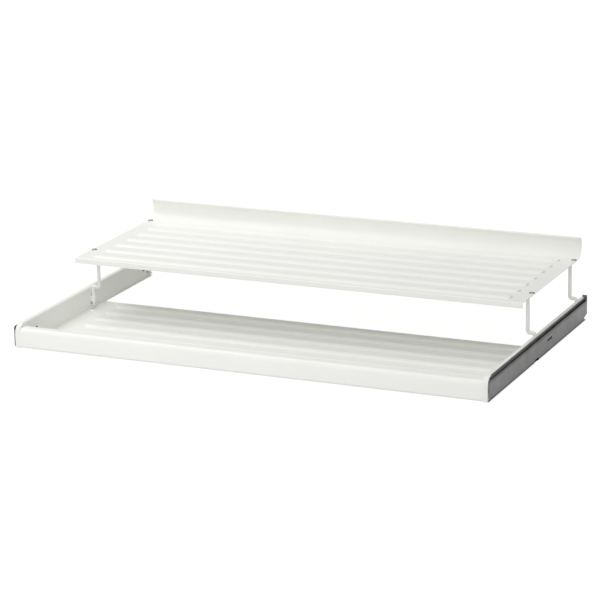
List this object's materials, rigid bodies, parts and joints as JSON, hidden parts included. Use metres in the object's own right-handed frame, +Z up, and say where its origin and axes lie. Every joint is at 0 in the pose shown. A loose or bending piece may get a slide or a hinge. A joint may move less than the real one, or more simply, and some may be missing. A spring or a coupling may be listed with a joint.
{
  "type": "pull out shoe rack",
  "caption": "Low sliding shoe rack: a ribbed steel shelf raised on bent wire legs over a ribbed base shelf, in a frame that pulls out on ball-bearing slides",
  "frame": {"origin": "middle of the bounding box's underside: the middle of the rack, at the level its slides stand on", "axes": "+X to the right across the rack, -Y out of the wardrobe (the way the tray pulls), +Z up"},
  "size_m": [0.963, 0.564, 0.163],
  "materials": {
    "white_steel": "satin powder coat",
    "white_plastic": "moulded",
    "zinc_steel": "zinc plated",
    "black_steel": "black oxide",
    "cage_steel": "plain",
    "ball_steel": "polished",
    "bumper_rubber": "moulded"
  },
  "bodies": {
    "cabinet_rails": {"cabinet_member_left": "zinc_steel", "bumper_left": "bumper_rubber", "cabinet_member_right": "zinc_steel", "bumper_right": "bumper_rubber"},
    "tray": {"upper_shelf": "white_steel", "lower_shelf": "white_steel", "front_rail": "white_steel", "shelf_rivets": "white_steel", "slide_screws": "black_steel", "bracket_screws": "zinc_steel", "wire_bushes": "bumper_rubber", "side_rail_left": "white_steel", "end_cap_left": "white_plastic", "corner_bracket_left": "zinc_steel", "wire_support_front_left": "white_steel", "wire_support_back_left": "white_steel", "tray_member_left": "zinc_steel", "side_rail_right": "white_steel", "end_cap_right": "white_plastic", "corner_bracket_right": "zinc_steel", "wire_support_front_right": "white_steel", "wire_support_back_right": "white_steel", "tray_member_right": "zinc_steel"},
    "middle_slide_left": {"middle_member_left": "zinc_steel"},
    "outer_cage_left": {"outer_cage_left": "cage_steel", "outer_balls_left": "ball_steel"},
    "inner_cage_left": {"inner_cage_left": "cage_steel", "inner_balls_left": "ball_steel"},
    "middle_slide_right": {"middle_member_right": "zinc_steel"},
    "outer_cage_right": {"outer_cage_right": "cage_steel", "outer_balls_right": "ball_steel"},
    "inner_cage_right": {"inner_cage_right": "cage_steel", "inner_balls_right": "ball_steel"}
  },
  "joints": [
    {"name": "tray_pull", "type": "slide", "parent": "cabinet_rails", "child": "tray", "axis": [0, -1, 0], "range_m": [0, 0.45]},
    {"name": "middle_slide_left_travel", "type": "slide", "parent": "cabinet_rails", "child": "middle_slide_left", "axis": [0, -1, 0], "range_m": [0, 0.225]},
    {"name": "outer_cage_left_travel", "type": "slide", "parent": "cabinet_rails", "child": "outer_cage_left", "axis": [0, -1, 0], "range_m": [0, 0.1125]},
    {"name": "inner_cage_left_travel", "type": "slide", "parent": "cabinet_rails", "child": "inner_cage_left", "axis": [0, -1, 0], "range_m": [0, 0.3375]},
    {"name": "middle_slide_right_travel", "type": "slide", "parent": "cabinet_rails", "child": "middle_slide_right", "axis": [0, -1, 0], "range_m": [0, 0.225]},
    {"name": "outer_cage_right_travel", "type": "slide", "parent": "cabinet_rails", "child": "outer_cage_right", "axis": [0, -1, 0], "range_m": [0, 0.1125]},
    {"name": "inner_cage_right_travel", "type": "slide", "parent": "cabinet_rails", "child": "inner_cage_right", "axis": [0, -1, 0], "range_m": [0, 0.3375]}
  ],
  "couplings": [
    {"joint": "middle_slide_left_travel", "follows": "tray_pull", "ratio": 0.5},
    {"joint": "outer_cage_left_travel", "follows": "tray_pull", "ratio": 0.25},
    {"joint": "inner_cage_left_travel", "follows": "tray_pull", "ratio": 0.75},
    {"joint": "middle_slide_right_travel", "follows": "tray_pull", "ratio": 0.5},
    {"joint": "outer_cage_right_travel", "follows": "tray_pull", "ratio": 0.25},
    {"joint": "inner_cage_right_travel", "follows": "tray_pull", "ratio": 0.75}
  ]
}
